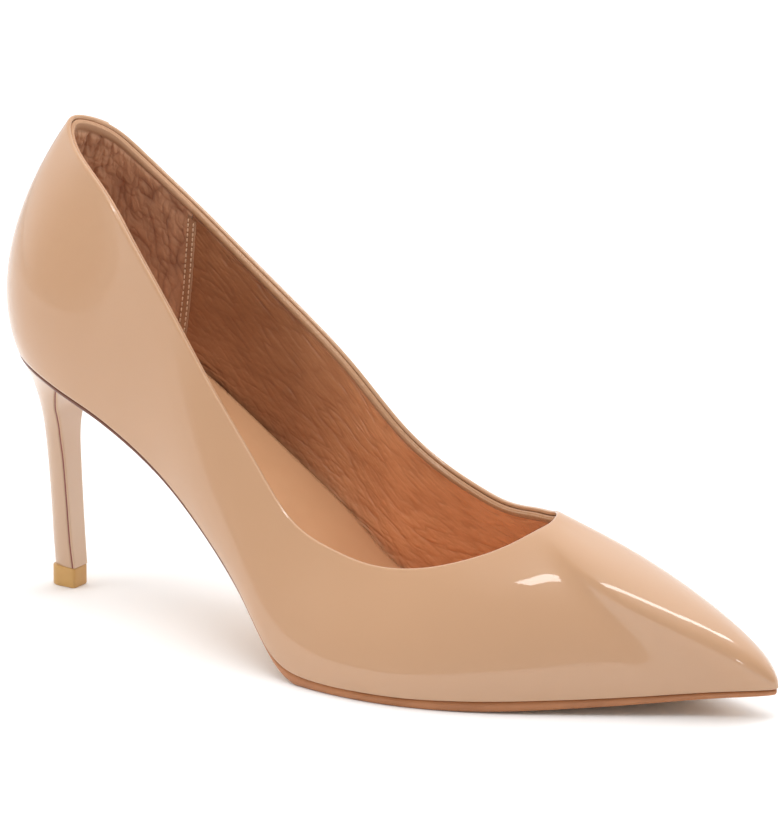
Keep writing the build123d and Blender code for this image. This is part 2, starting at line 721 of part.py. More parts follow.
# Screw through the rear board and outsole into the block.
with BuildPart() as heel_screw:
    with Locations(bottom_plane(SCREW_X, 0, BOARD_HIGH + FIT)):
        Cylinder(SCREW_R, SCREW_LENGTH, align=DOWNWARDS)
        Cylinder(SCREW_HEAD_R, SCREW_HEAD, align=UPWARDS)
heel_screw.part.label = "heel_screw"
export_step(heel_screw.part, "parts/heel_screw.step")

# Nails round the screw.
with BuildPart() as heel_nails:
    for x, y in NAIL_PLACES:
        with Locations(bottom_plane(x, y, BOARD_HIGH + FIT)):
            Cylinder(NAIL_R, NAIL_LENGTH, align=DOWNWARDS)
            Cylinder(NAIL_HEAD_R, NAIL_HEAD, align=UPWARDS)
heel_nails.part.label = "heel_nails"
export_step(heel_nails.part, "parts/heel_nails.step")
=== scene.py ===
import math

import bmesh
import bpy
import numpy as np
from mathutils import Matrix, Vector


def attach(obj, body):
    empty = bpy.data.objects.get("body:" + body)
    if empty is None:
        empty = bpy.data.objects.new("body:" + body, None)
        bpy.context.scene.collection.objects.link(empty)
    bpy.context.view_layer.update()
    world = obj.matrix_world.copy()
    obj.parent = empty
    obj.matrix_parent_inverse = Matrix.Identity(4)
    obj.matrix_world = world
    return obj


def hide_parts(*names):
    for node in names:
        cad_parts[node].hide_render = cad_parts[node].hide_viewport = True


# A pointed patent pump: the visible leather, linings, sole and heel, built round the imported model.
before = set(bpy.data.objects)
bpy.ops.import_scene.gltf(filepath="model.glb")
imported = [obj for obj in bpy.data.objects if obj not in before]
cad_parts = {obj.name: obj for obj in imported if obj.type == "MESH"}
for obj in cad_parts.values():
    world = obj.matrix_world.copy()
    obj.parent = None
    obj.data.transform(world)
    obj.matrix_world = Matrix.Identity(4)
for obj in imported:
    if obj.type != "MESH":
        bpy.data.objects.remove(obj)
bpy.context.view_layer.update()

MM = 0.001
rng = np.random.default_rng(11)

# ---- The last: the same stations as the model, in millimetres ---------------------------
# Each row: feather point in plan, topline point, bulge low down and high up.
STATIONS = [
    ((-6, 14.5), (7.5, 10.5, 130), 7.0, 8.5),
    ((-13, 0), (2.5, 0, 134), 9.5, 12.5),
    ((-6, -14.5), (6, -6.5, 130.4), 7.0, 9.0),
    ((9, -22), (14.5, -12.5, 125.6), 3.8, 5.0),
    ((24, -23), (26.5, -17, 117.4), 2.0, 2.4),
    ((32, -23), (33.5, -18.8, 110), 1.6, 1.8),
    ((46, -23.6), (46, -20.5, 95), 1.6, 1.6),
    ((63, -27), (63, -22.6, 73.6), 2.2, 1.8),
    ((78, -31.2), (79.5, -24.8, 54.8), 2.4, 2.6),
    ((91, -35.5), (94, -27.2, 41), 1.8, 3.6),
    ((105, -38.4), (106.5, -28, 36.4), 1.2, 4.6),
    ((122, -38.8), (118.5, -27.6, 34.2), 1.2, 5.6),
    ((140, -35.4), (130.5, -25.4, 34.6), 1.2, 7.2),
    ((158, -28), (140.5, -21.6, 36.8), 1.2, 9.4),
    ((176, -17.6), (149, -15.2, 39.8), 1.2, 12.6),
    ((195, -6.2), (154.5, -9, 42.8), 1.0, 15.5),
    ((212, 3.4), (157.4, -3.6, 45), 1.0, 21.0),
    ((223.5, 10.2), (158.5, 1.8, 46.3), 0.8, 28.0),
    ((214, 15.6), (157, 6.4, 46.8), 1.0, 20.0),
    ((196, 20.6), (152.5, 10.8, 45.4), 1.0, 13.5),
    ((178, 26), (145.5, 15, 43.8), 1.2, 10.5),
    ((159, 31.8), (136.5, 20, 41.7), 1.2, 8.6),
    ((141, 35.8), (127, 24.6, 40.6), 1.2, 7.0),
    ((123, 37), (117, 27.5, 42), 1.2, 5.6),
    ((107, 34.8), (106, 28, 46.2), 1.4, 4.6),
    ((93, 30.6), (94.5, 26, 54.8), 2.2, 3.6),
    ((79, 26), (80, 23.8, 69.8), 3.0, 2.4),
    ((63, 22.2), (63, 22.4, 84), 3.4, 1.6),
    ((46, 21), (46.5, 20.9, 96.8), 3.0, 1.4),
    ((32, 21.4), (33, 19.4, 107.6), 2.6, 1.6),
    ((24, 21.8), (26, 18.3, 113.2), 2.8, 2.2),
    ((9, 21.6), (15, 15.4, 122.8), 3.8, 4.6),
]
BOTTOM_PROFILE = [
    (-15, 72.2), (0, 68.4), (12, 64.4), (28, 57.8), (46, 47.4), (63, 35.2), (78, 22.2),
    (91, 8), (98, 4.1), (107, 2.8), (123, 2.6), (141, 2.8), (176, 4.5), (200, 6.5), (225, 9.1),
]
GROUND_PROFILE = [
    (-15, 70.7), (0, 66.9), (12, 62.9), (28, 56.3), (46, 45.9), (63, 33.7), (78, 20.6),
    (88, 9.6), (94, 3.6), (100, 0.3), (106, 0), (124, 0), (142, 0), (160, 0.6), (180, 2.2),
    (200, 4.4), (225, 7.4),
]
# Each row: height, back, front and half width. It flares more gently under the seat than the
# model's heel does.
HEEL_LEVELS = [
    (5.9, -4.1, 3.3, 3.1), (13, -4.6, 2.6, 3.4), (25, -5.3, 1.8, 3.6), (36, -6.1, 1.1, 3.9),
    (45, -6.9, 0.5, 4.7), (51, -7.6, 0.6, 6.3), (57, -8.6, 2.6, 9.4), (61, -9.5, 5.8, 12.6),
    (64, -10.5, 9.4, 15.8), (75, -14.0, 16, 24),
]
# How far up the side its lower and upper control points sit.
LOW_RISE = 0.29
HIGH_DROP = 0.28
# Rows of STATIONS at the back, the toe, and the front and back end of each lining seam.
BACK, TOE = 1, 17
INNER_STRIP, INNER_STRIP_BACK = 29, 30
OUTER_STRIP, OUTER_STRIP_BACK = 5, 4


class Loop:
    """Closed cubic spline through rows of values, by a mark that repeats from 0 to 1."""

    def __init__(self, marks, values):
        self.marks = marks
        self.values = np.array([*values, values[0]], float)
        count = len(values)
        runs = np.diff(marks)
        steps = np.diff(self.values, axis=0) / runs[:, None]
        system = np.zeros((count, count))
        for i in range(count):
            system[i, i - 1] = runs[i - 1]
            system[i, i] = 2 * (runs[i - 1] + runs[i])
            system[i, (i + 1) % count] = runs[i]
        bends = np.linalg.solve(system, 6 * (steps - np.roll(steps, 1, axis=0)))
        self.bends = np.vstack([bends, bends[:1]])

    def __call__(self, mark):
        mark = np.asarray(mark, float) % 1
        k = np.clip(np.searchsorted(self.marks, mark, side="right") - 1, 0, len(self.marks) - 2)
        run = (self.marks[k + 1] - self.marks[k])[..., None]
        b = (mark - self.marks[k])[..., None] / run
        a = 1 - b
        curve = (a ** 3 - a) * self.bends[k] + (b ** 3 - b) * self.bends[k + 1]
        return a * self.values[k] + b * self.values[k + 1] + curve * run ** 2 / 6


def hermite(before, after, slope_before, slope_after, run, t):
    """Smooth value between two levels, a share t of the run from the first."""
    ends = before * (1 + 2 * t) * (1 - t) ** 2 + after * t ** 2 * (3 - 2 * t)
    return ends + run * (slope_before * t * (1 - t) ** 2 + slope_after * t ** 2 * (t - 1))


def heel_level(z):
    """Back, front and half width of the heel at a height, without overshoot between levels."""
    heights = np.array([row[0] for row in HEEL_LEVELS])
    values = np.array([row[1:] for row in HEEL_LEVELS])
    steps = np.diff(values, axis=0) / np.diff(heights)[:, None]
    slopes = np.vstack([steps[:1], np.zeros_like(steps[1:]), steps[-1:]])
    for i in range(1, len(steps)):
        before, after = steps[i - 1], steps[i]
        same = before * after > 0
        slopes[i] = np.where(same, 2 * before * after / np.where(same, before + after, 1), 0)
    k = int(np.clip(np.searchsorted(heights, z) - 1, 0, len(heights) - 2))
    run = heights[k + 1] - heights[k]
    return hermite(values[k], values[k + 1], slopes[k], slopes[k + 1], run, (z - heights[k]) / run)


def station_marks():
    """Share of the way round at each station, by the lengths of feather line and topline."""
    marks = [0.0]
    for a, b in zip(STATIONS, STATIONS[1:] + STATIONS[:1]):
        marks.append(marks[-1] + math.dist(a[0], b[0]) + math.dist(a[1], b[1]))
    return np.array(marks) / marks[-1]


MARKS = station_marks()
FEATHER = Loop(MARKS, [row[0] for row in STATIONS])
TOPLINE = Loop(MARKS, [row[1] for row in STATIONS])
BULGE = Loop(MARKS, [row[2:] for row in STATIONS])


def profile_height(points, x):
    """Height of a profile at each length, on a smooth curve through its points."""
    xs, zs = np.array(points, float).T
    first = (zs[1] - zs[0]) / (xs[1] - xs[0])
    last = (zs[-1] - zs[-2]) / (xs[-1] - xs[-2])
    slopes = np.concatenate([[first], (zs[2:] - zs[:-2]) / (xs[2:] - xs[:-2]), [last]])
    x = np.asarray(x, float)
    k = np.clip(np.searchsorted(xs, x, side="right") - 1, 0, len(xs) - 2)
    run = xs[k + 1] - xs[k]
    return hermite(zs[k], zs[k + 1], slopes[k], slopes[k + 1], run, (x - xs[k]) / run)


def bottom(x):
    """Height of the bottom of the upper at a length."""
    return profile_height(BOTTOM_PROFILE, x)


def ground(x):
    """Height of the underside of the outsole at a length."""
    return np.maximum(profile_height(GROUND_PROFILE, x), 0)


MARK_STEP = 1e-4
UP_STEP = 1e-3
TINY = 1e-12


def unit(v):
    return v / np.maximum(np.linalg.norm(v, axis=-1, keepdims=True), TINY)


def side_poles(marks):
    """Four control points of the side's curve at each mark, with its outward direction."""
    plan = FEATHER(marks)
    foot = np.concatenate([plan, bottom(plan[..., 0])[..., None]], axis=-1)
    along = FEATHER(marks + MARK_STEP) - FEATHER(marks - MARK_STEP)
    outward = unit(np.stack([along[..., 1], -along[..., 0], np.zeros_like(along[..., 0])], axis=-1))
    top = TOPLINE(marks)
    reach = top - foot
    inset = (reach * outward).sum(-1, keepdims=True)
    rise = reach - outward * inset
    low, high = np.split(BULGE(marks), 2, axis=-1)
    return (
        foot, foot + outward * low + rise * LOW_RISE,
        foot + outward * (inset + high) + rise * (1 - HIGH_DROP), top,
    ), outward


def outer_face(marks, ups):
    """Points of the side's outer face; marks and ups have the same shape."""
    poles, _ = side_poles(marks)
    up = ups[..., None]
    down = 1 - up
    weights = (down ** 3, 3 * up * down ** 2, 3 * up ** 2 * down, up ** 3)
    return sum(w * p for w, p in zip(weights, poles))


def face_directions(marks, ups):
    """Unit inward normal and unit upward direction of the side's outer face."""
    along = outer_face(marks + MARK_STEP, ups) - outer_face(marks - MARK_STEP, ups)
    rise = outer_face(marks, ups + UP_STEP) - outer_face(marks, ups - UP_STEP)
    return unit(np.cross(rise, along)), unit(rise)


def side_surface(marks, ups, depth):
    """Points at a depth below the side's outer face."""
    inward, _ = face_directions(marks, ups)
    return outer_face(marks, ups) + inward * np.broadcast_to(depth, ups.shape)[..., None]


# ---- Smooth seeded noise ----------------------------------------------------------------
LATTICE_SIZE = 64
LATTICE = rng.uniform(-1, 1, (LATTICE_SIZE, LATTICE_SIZE))


def smooth_noise(x, y):
    """Smooth noise between -1 and 1 on a repeating lattice."""
    i, j = np.floor(x).astype(int), np.floor(y).astype(int)
    fx, fy = x - i, y - j
    fx, fy = fx * fx * (3 - 2 * fx), fy * fy * (3 - 2 * fy)
    i, next_i = i % LATTICE_SIZE, (i + 1) % LATTICE_SIZE
    j, next_j = j % LATTICE_SIZE, (j + 1) % LATTICE_SIZE
    low = LATTICE[i, j] * (1 - fx) + LATTICE[next_i, j] * fx
    high = LATTICE[i, next_j] * (1 - fx) + LATTICE[next_i, next_j] * fx
    return low * (1 - fy) + high * fy


CREASE_SUM = 1.75


def creases(x, y, octaves=3):
    """Sharp-edged folds between 0 and 1: noise folded about its zero lines."""
    total, size = 0, 1.0
    for k in range(octaves):
        zoom = 2 ** k
        folded = 1 - np.abs(smooth_noise(x * zoom + 9.1 * k, y * zoom - 4.3 * k))
        total = total + size * folded ** 4
        size *= 0.5
    return total / CREASE_SUM


# ---- Meshes -----------------------------------------------------------------------------
def mesh_object(name, points, faces, material, face_materials=None, extra_materials=()):
    """New smooth-shaded object from points in millimetres."""
    mesh = bpy.data.meshes.new(name)
    mesh.from_pydata((np.asarray(points) * MM).tolist(), [], faces)
    mesh.materials.append(material)
    for other in extra_materials:
        mesh.materials.append(other)
    if face_materials is not None:
        mesh.polygons.foreach_set("material_index", np.asarray(face_materials, np.int32))
    mesh.polygons.foreach_set("use_smooth", np.ones(len(mesh.polygons), bool))
    mesh.update()
    piece = bpy.data.objects.new(name, mesh)
    bpy.context.scene.collection.objects.link(piece)
    return piece


def grid_faces(rows, columns, close_rows=False, close_columns=False, first=0):
    """Quads of a grid of points numbered row by row."""
    faces = []
    for i in range(rows if close_rows else rows - 1):
        for j in range(columns if close_columns else columns - 1):
            a, b = i * columns + j, i * columns + (j + 1) % columns
            c, d = ((i + 1) % rows) * columns + (j + 1) % columns, ((i + 1) % rows) * columns + j
            faces.append((first + a, first + b, first + c, first + d))
    return faces


def weld(piece):
    """Joins points that fall together, and drops the faces that close up."""
    shape = bmesh.new()
    shape.from_mesh(piece.data)
    bmesh.ops.remove_doubles(shape, verts=shape.verts, dist=1e-3 * MM)
    shape.to_mesh(piece.data)
    shape.free()


def finish_piece(piece, node, flip=False):
    """Rides a piece on the body, in place of its node."""
    if flip:
        piece.data.flip_normals()
    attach(piece, "root")
    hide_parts(node)


def add_values(piece, name, values):
    """Stores one number per vertex for the material to read."""
    layer = piece.data.attributes.new(name, "FLOAT", "POINT")
    layer.data.foreach_set("value", np.asarray(values, np.float32).ravel())


# ---- Materials --------------------------------------------------------------------------
class Nodes:
    """Short way to build one material's node tree."""

    def __init__(self, name):
        self.material = bpy.data.materials.new(name)
        self.material.use_nodes = True
        self.tree = self.material.node_tree
        self.shader = self.tree.nodes["Principled BSDF"]
        self.place = self.add("ShaderNodeTexCoord").outputs["Object"]

    def add(self, kind, **values):
        node = self.tree.nodes.new(kind)
        for key, value in values.items():
            if hasattr(node, key):
                setattr(node, key, value)
            else:
                node.inputs[key.replace("_", " ")].default_value = value
        return node

    def link(self, output, target):
        self.tree.links.new(output, target)

    def set(self, **values):
        for key, value in values.items():
            self.shader.inputs[key.replace("_", " ")].default_value = value

    def noise(self, scale, detail=4.0, roughness=0.55, stretch=(1, 1, 1)):
        mapping = self.add("ShaderNodeMapping")
        mapping.inputs["Scale"].default_value = stretch
        self.link(self.place, mapping.inputs["Vector"])
        node = self.add("ShaderNodeTexNoise", Scale=scale, Detail=detail, Roughness=roughness)
        self.link(mapping.outputs["Vector"], node.inputs["Vector"])
        return node.outputs["Fac"]

    def cells(self, scale):
        node = self.add("ShaderNodeTexVoronoi", feature="DISTANCE_TO_EDGE", Scale=scale)
        self.link(self.place, node.inputs["Vector"])
        return node.outputs["Distance"]

    def attribute(self, name):
        return self.add("ShaderNodeAttribute", attribute_name=name).outputs["Fac"]

    def ramp(self, factor, stops):
        node = self.add("ShaderNodeValToRGB")
        ramp = node.color_ramp
        while len(ramp.elements) < len(stops):
            ramp.elements.new(0.5)
        for element, (place, colour) in zip(ramp.elements, stops):
            element.position = place
            element.color = (*colour, 1)
        self.link(factor, node.inputs["Fac"])
        return node.outputs["Color"]

    def mix(self, factor, a, b):
        node = self.add("ShaderNodeMix", data_type="RGBA")
        self.link(factor, node.inputs["Factor"])
        for value, target in ((a, node.inputs[6]), (b, node.inputs[7])):
            if isinstance(value, tuple):
                target.default_value = (*value, 1)
            else:
                self.link(value, target)
        return node.outputs[2]

    def scaled(self, output, low, high, from_low=0.0, from_high=1.0):
        node = self.add(
            "ShaderNodeMapRange", To_Min=low, To_Max=high, From_Min=from_low, From_Max=from_high,
        )
        self.link(output, node.inputs["Value"])
        return node.outputs["Result"]

    def bump(self, height, distance, strength=1.0, below=None):
        node = self.add("ShaderNodeBump", Distance=distance * MM, Strength=strength)
        self.link(height, node.inputs["Height"])
        if below is not None:
            self.link(below, node.inputs["Normal"])
        return node.outputs["Normal"]


def patent(name, light, dark, coat=1.0):
    """Leather under a clear, slightly uneven lacquer."""
    n = Nodes(name)
    cloud = n.noise(9.0, detail=3.0)
    n.link(n.ramp(cloud, [(0.35, dark), (0.65, light)]), n.shader.inputs["Base Color"])
    grain = n.bump(n.noise(900.0, detail=2.0), 0.02, 0.25)
    n.link(grain, n.shader.inputs["Normal"])
    wave = n.bump(n.noise(26.0, detail=1.5), 0.25, 0.12)
    n.link(wave, n.shader.inputs["Coat Normal"])
    n.link(n.scaled(n.noise(60.0), 0.3, 0.42), n.shader.inputs["Roughness"])
    n.set(Coat_Weight=coat, Coat_Roughness=0.035, Coat_IOR=1.5, Specular_IOR_Level=0.45)
    n.set(Subsurface_Weight=0.04, Subsurface_Radius=(0.004, 0.002, 0.001), Subsurface_Scale=0.3)
    return n.material


def plain(name, light, dark, roughness, scale, grain_scale, grain, metallic=0.0, coat=0.0):
    """Simple finish: mottled colour, uneven gloss and a fine surface grain."""
    n = Nodes(name)
    n.link(n.ramp(n.noise(scale), [(0.3, dark), (0.7, light)]), n.shader.inputs["Base Color"])
    n.link(n.bump(n.noise(grain_scale), grain, 0.6), n.shader.inputs["Normal"])
    n.link(n.scaled(n.noise(scale * 2), roughness - 0.06, roughness + 0.06), n.shader.inputs["Roughness"])
    n.set(Metallic=metallic, Coat_Weight=coat, Coat_Roughness=0.2)
    return n.material


# Painted shade and painted sheen on the front lining: colour multipliers behind and ahead along its length.
LINING_SHADE = (0.82, 0.78, 0.76)
LINING_PAINTED_SHEEN = (1.75, 1.9, 2.0)


def lining_leather(name):
    """Glazed lining leather, with painted shade in its creases and at the waist, and a painted sheen
    forward.
    """
    n = Nodes(name)
    fold = n.attribute("fold")
    band = n.attribute("band")
    # Painted shade in the creases: darker where the fold value is low.
    crease_shade = n.mix(fold, (0.26, 0.085, 0.033), (0.52, 0.235, 0.105))
    cloud = n.ramp(n.noise(28.0), [(0.35, (0.36, 0.14, 0.06)), (0.7, (0.56, 0.27, 0.135))])
    mixed = n.add("ShaderNodeMix", data_type="RGBA")
    mixed.inputs["Factor"].default_value = 0.5
    n.link(crease_shade, mixed.inputs[6])
    n.link(cloud, mixed.inputs[7])
    split = n.add("ShaderNodeSeparateXYZ")
    n.link(n.place, split.inputs["Vector"])
    # Painted shade towards the back and painted sheen forward, blended along the length.
    middle = n.scaled(split.outputs["X"], 0, 1, 0.062, 0.092)
    shaded = n.add("ShaderNodeVectorMath", operation="MULTIPLY")
    n.link(mixed.outputs[2], shaded.inputs[0])
    n.link(n.mix(middle, LINING_SHADE, LINING_PAINTED_SHEEN), shaded.inputs[1])
    n.link(n.mix(band, shaded.outputs["Vector"], (0.44, 0.23, 0.115)), n.shader.inputs["Base Color"])
    cracks = n.cells(420.0)
    pores = n.bump(n.scaled(cracks, 0, 1, 0, 0.25), 0.09, 0.5)
    long_grain = n.bump(n.noise(260.0, detail=5.0, stretch=(1, 1, 2.6)), 0.16, 0.55, below=pores)
    n.link(long_grain, n.shader.inputs["Normal"])
    n.link(n.scaled(n.noise(45.0), 0.27, 0.42), n.shader.inputs["Roughness"])
    n.set(Specular_IOR_Level=0.6, Sheen_Weight=0.03)
    return n.material


def suede(name):
    """Napped lining of the heel, with painted shade in its wrinkles."""
    n = Nodes(name)
    fold = n.attribute("fold")
    band = n.attribute("band")
    # Painted shade in the wrinkles: darker where the fold value is low.
    crease_shade = n.mix(fold, (0.21, 0.07, 0.032), (0.66, 0.36, 0.21))
    n.link(n.mix(band, crease_shade, (0.50, 0.28, 0.16)), n.shader.inputs["Base Color"])
    nap = n.bump(n.noise(700.0, detail=6.0, roughness=0.7), 0.12, 0.6)
    soft = n.bump(n.noise(170.0, detail=4.0), 0.25, 0.5, below=nap)
    n.link(soft, n.shader.inputs["Normal"])
    n.set(Roughness=0.62, Sheen_Weight=0.15, Sheen_Roughness=0.45, Specular_IOR_Level=0.35)
    return n.material


def edge_finish(name):
    """Burnished sole edge: light brown at the forepart, dark brown up the waist."""
    n = Nodes(name)
    split = n.add("ShaderNodeSeparateXYZ")
    n.link(n.place, split.inputs["Vector"])
    light = n.ramp(n.noise(80.0), [(0.3, (0.36, 0.13, 0.04)), (0.7, (0.47, 0.185, 0.065))])
    height = n.scaled(split.outputs["Z"], 0, 1, 0.006, 0.028)
    n.link(n.mix(height, light, (0.15, 0.045, 0.02)), n.shader.inputs["Base Color"])
    n.link(n.bump(n.noise(300.0), 0.03, 0.6), n.shader.inputs["Normal"])
    n.link(n.scaled(n.noise(160.0), 0.32, 0.44), n.shader.inputs["Roughness"])
    n.set(Coat_Weight=0.3, Coat_Roughness=0.2)
    return n.material


NUDE = (0.530, 0.302, 0.166)
NUDE_DARK = (0.502, 0.280, 0.149)
patent_upper = patent("patent_upper", NUDE, NUDE_DARK)
patent_heel = patent("patent_heel", (0.53, 0.33, 0.20), (0.50, 0.305, 0.185))
# Painted light: the breast flap is the same patent as the wrap, made paler.
patent_breast_painted_light = patent("patent_breast_painted_light", (0.62, 0.43, 0.29), (0.59, 0.40, 0.265), coat=0.8)
cut_edge = plain("cut_edge", (0.24, 0.055, 0.03), (0.17, 0.035, 0.02), 0.5, 60.0, 400.0, 0.04)
lining_front_material = lining_leather("lining_leather")
lining_heel_material = suede("lining_suede")
sock_material = plain("sock_leather", (0.65, 0.36, 0.19), (0.59, 0.315, 0.16), 0.42, 35.0, 500.0, 0.05)
sole_edge = edge_finish("sole_edge")
sole_under = plain(
    "sole_under", (0.58, 0.36, 0.19), (0.50, 0.29, 0.15), 0.5, 25.0, 600.0, 0.06, coat=0.15,
)
thread_material = plain("thread", (0.86, 0.62, 0.42), (0.74, 0.50, 0.32), 0.6, 900.0, 2500.0, 0.05)
strip_material = plain("seam_strip", (0.50, 0.27, 0.15), (0.40, 0.20, 0.11), 0.5, 120.0, 500.0, 0.06)
core_material = plain("heel_plastic", (0.72, 0.70, 0.62), (0.66, 0.64, 0.56), 0.45, 30.0, 300.0, 0.03)
lift_material = plain("top_lift", (0.58, 0.33, 0.10), (0.52, 0.28, 0.08), 0.36, 90.0, 500.0, 0.03, coat=0.2)

# ---- Upper ------------------------------------------------------------------------------
FINE = 640
UPPER_THICKNESS = 1.3
CROWN_R = UPPER_THICKNESS / 2
LAP_HEIGHT = 0.55
LAP_WIDTH = 0.022
LAP_EDGE = 0.0006


def lap(marks):
    """Extra thickness of the back piece where it laps over the inner quarter."""
    past = marks % 1
    stepped = np.clip(past / LAP_EDGE, 0, 1)
    fading = np.clip(1 - past / LAP_WIDTH, 0, 1)
    return LAP_HEIGHT * stepped * fading * fading * (3 - 2 * fading)


def ring_marks(count):
    """Marks all the way round, with extra ones at the lapped seam."""
    extra = np.array([0.15, 0.5, 0.85, 1.0]) * LAP_EDGE
    marks = np.concatenate([np.arange(count) / count, extra, [1 - LAP_EDGE]])
    return np.unique(np.round(marks, 9))


# Turned margin under the foot: inset from the edge and lift above it.
TURNED_MARGIN = [(5.0, 0.3), (2.0, 0.1), (0.7, 0.0)]
INSIDE_UPS = (0.99, 0.98, 0.965, 0.95, 0.93)


def build_upper():
    """Rings from the turned margin up the side, over the rolled topline and down inside it."""
    marks = ring_marks(FINE)
    rows = []
    poles, outward = side_poles(marks)
    foot = poles[0]
    extra = lap(marks)[:, None]
    for inset, lift in TURNED_MARGIN:
        rows.append(foot - outward * inset + np.array([0, 0, lift]))
    ups = np.concatenate([[0.004, 0.012], np.linspace(0.025, 1, 64)])
    for up in ups:
        grid = np.full(len(marks), up)
        inward, _ = face_directions(marks, grid)
        rows.append(outer_face(marks, grid) - inward * extra)
    full = np.ones(len(marks))
    inward, rise = face_directions(marks, full)
    top = outer_face(marks, full) - inward * extra
    reach = CROWN_R + extra / 2
    middle = top + inward * reach
    for angle in np.linspace(0, math.pi, 9)[1:]:
        rows.append(middle - inward * reach * math.cos(angle) + rise * CROWN_R * math.sin(angle))
    for up in INSIDE_UPS:
        rows.append(side_surface(marks, np.full(len(marks), up), UPPER_THICKNESS))
    faces = grid_faces(len(rows), len(marks), close_columns=True)
    piece = mesh_object("upper_skin", np.concatenate(rows), faces, patent_upper)
    finish_piece(piece, "outer_upper", flip=True)


build_upper()

# ---- Linings ----------------------------------------------------------------------------
LINING_TOP = 2.5
LINING_LOW = 3.6
BAND_HEIGHT = 0.052
BAND_EDGE = 0.006
SIDE_HEIGHT = 60
ROLL_GAP = 0.1
ROLL_RISE = 0.5
ROLL_DROP = 0.35


def lining_depth(ups):
    """Depth of the lining's inner face below the side's outer face."""
    return LINING_LOW + (LINING_TOP - LINING_LOW) * ups


def seam_mark(up, front, back):
    """Mark of a lining seam at a height: it slants towards the heel on its way down."""
    return front + (back - front) * (0.3 + 0.8 * (1 - up) ** 1.1)


def lining_surface(first, last, columns, rows, folds):
    """Grid of the lining between two seams: a rounded top band, a groove and folds below it."""
    ups = np.linspace(0.05, 1.0, rows)[:, None] * np.ones((1, columns))
    across = np.linspace(0, 1, columns)[None, :]
    starts = first(ups[:, :1])
    marks = starts + (last(ups[:, :1]) - starts) * across
    place = outer_face(marks, ups)
    length = np.cumsum(np.linalg.norm(np.diff(place, axis=1, prepend=place[:, :1]), axis=-1), axis=1)
    fold, fold_depth = folds(length, ups * SIDE_HEIGHT, marks)
    over = ups - (1 - BAND_HEIGHT)
    band = np.clip(over / BAND_EDGE, 0, 1)
    groove = np.exp(-(over / BAND_EDGE) ** 2)
    swell = np.sin(np.clip(over / BAND_HEIGHT, 0, 1) * math.pi) ** 0.7
    depth = lining_depth(ups) + (fold - 0.5) * fold_depth * (1 - band)
    depth += 0.55 * band * swell - 0.3 * groove
    return side_surface(marks, ups, depth), fold, band, marks


def build_lining(name, first, last, columns, folds, material, node):
    """One lining between two seams, with its rolled top edge."""
    rows = 200
    columns = columns
    points, fold, band, marks = lining_surface(first, last, columns, rows, folds)
    edge = marks[-1]
    full = np.ones(columns)
    inward, rise = face_directions(edge, full)
    reach = (LINING_TOP - UPPER_THICKNESS - ROLL_GAP) / 2
    middle = outer_face(edge, full) + inward * (LINING_TOP - reach)
    top_rows = []
    for angle in np.linspace(0, math.pi, 7)[1:]:
        lift = ROLL_RISE * math.sin(angle) - ROLL_DROP
        top_rows.append(middle + inward * reach * math.cos(angle) + rise * lift)
    all_points = np.concatenate([points.reshape(-1, 3), *top_rows])
    count = rows + len(top_rows)
    piece = mesh_object(name, all_points, grid_faces(count, columns), material)
    rolled = np.ones(len(top_rows) * columns)
    # The fold value also sets the painted shade in the creases.
    add_values(piece, "fold", np.concatenate([fold.ravel(), rolled]))
    add_values(piece, "band", np.concatenate([band.ravel(), rolled]))
    finish_piece(piece, node)


def inner_seam(up):
    return seam_mark(up, MARKS[INNER_STRIP], MARKS[INNER_STRIP_BACK])


def outer_seam(up):
    return seam_mark(up, MARKS[OUTER_STRIP], MARKS[OUTER_STRIP_BACK])


def heel_folds(length, height, marks):
    """Deep soft wrinkles at the top of the back, fading downwards and to the sides."""
    back = np.abs((marks - MARKS[BACK] + 0.5) % 1 - 0.5)
    near = np.exp(-(back / 0.075) ** 2) * np.clip((height - 22) / 26, 0, 1)
    deep = creases(length / 5.5 + 0.25 * smooth_noise(length / 6, height / 5), height / 12, 2)
    fine = creases(length / 4.2 + 7, height / 5.0 + 3, 3)
    return 1 - (0.55 * deep + 0.45 * fine), 0.6 + 2.2 * near


def front_folds(length, height, marks):
    """Fine creases running along the side of the shoe, a little slanted."""
    slant = height + 0.22 * length
    fine = creases(slant / 2.1 + 0.35 * smooth_noise(length / 7, height / 4), length / 14, 3)
    cross = creases(length / 3.2, height / 4.5 + 5, 2)
    return 1 - (0.7 * fine + 0.3 * cross), np.full_like(length, 0.55)


build_lining(
    "heel_lining_suede", lambda up: inner_seam(up) - 1, outer_seam, 420, heel_folds,
    lining_heel_material, "heel_lining",
)
build_lining(
    "front_lining_leather", outer_seam, inner_seam, 900, front_folds,
    lining_front_material, "vamp_lining",
)

# ---- Seam strips and their stitches -----------------------------------------------------
STRIP_WIDTH = 3.2
STRIP_HEIGHT = 0.55
STRIP_LIFT = 0.15
STRIP_LOW, STRIP_HIGH = 0.1, 0.925
# Cross section of a strip, as shares of its width and height: raised edges, flat middle.
STRIP_SECTION = [
    (-0.5, -0.3), (-0.46, 0.55), (-0.36, 0.85), (-0.12, 0.7),
    (0.12, 0.7), (0.36, 0.85), (0.46, 0.55), (0.5, -0.3),
]
STITCHES = 26
STITCH_FIRST, STITCH_PITCH, STITCH_LENGTH = 0.11, 0.031, 0.024
STITCH_ROWS = (-0.3, 0.3)
STITCH_R = 0.2
STITCH_BASE = 0.641
STITCH_ARCH = 0.1
STITCH_POINTS = 6


def strip_points(seam, ups, offset, lift):
    """Points over a lining seam, a distance along the side from it and a height above it."""
    marks = seam(ups)
    depth = lining_depth(ups) + lift
    here = side_surface(marks, ups, depth)
    step = side_surface(marks + 10 * MARK_STEP, ups, depth) - here
    return here + unit(step) * offset


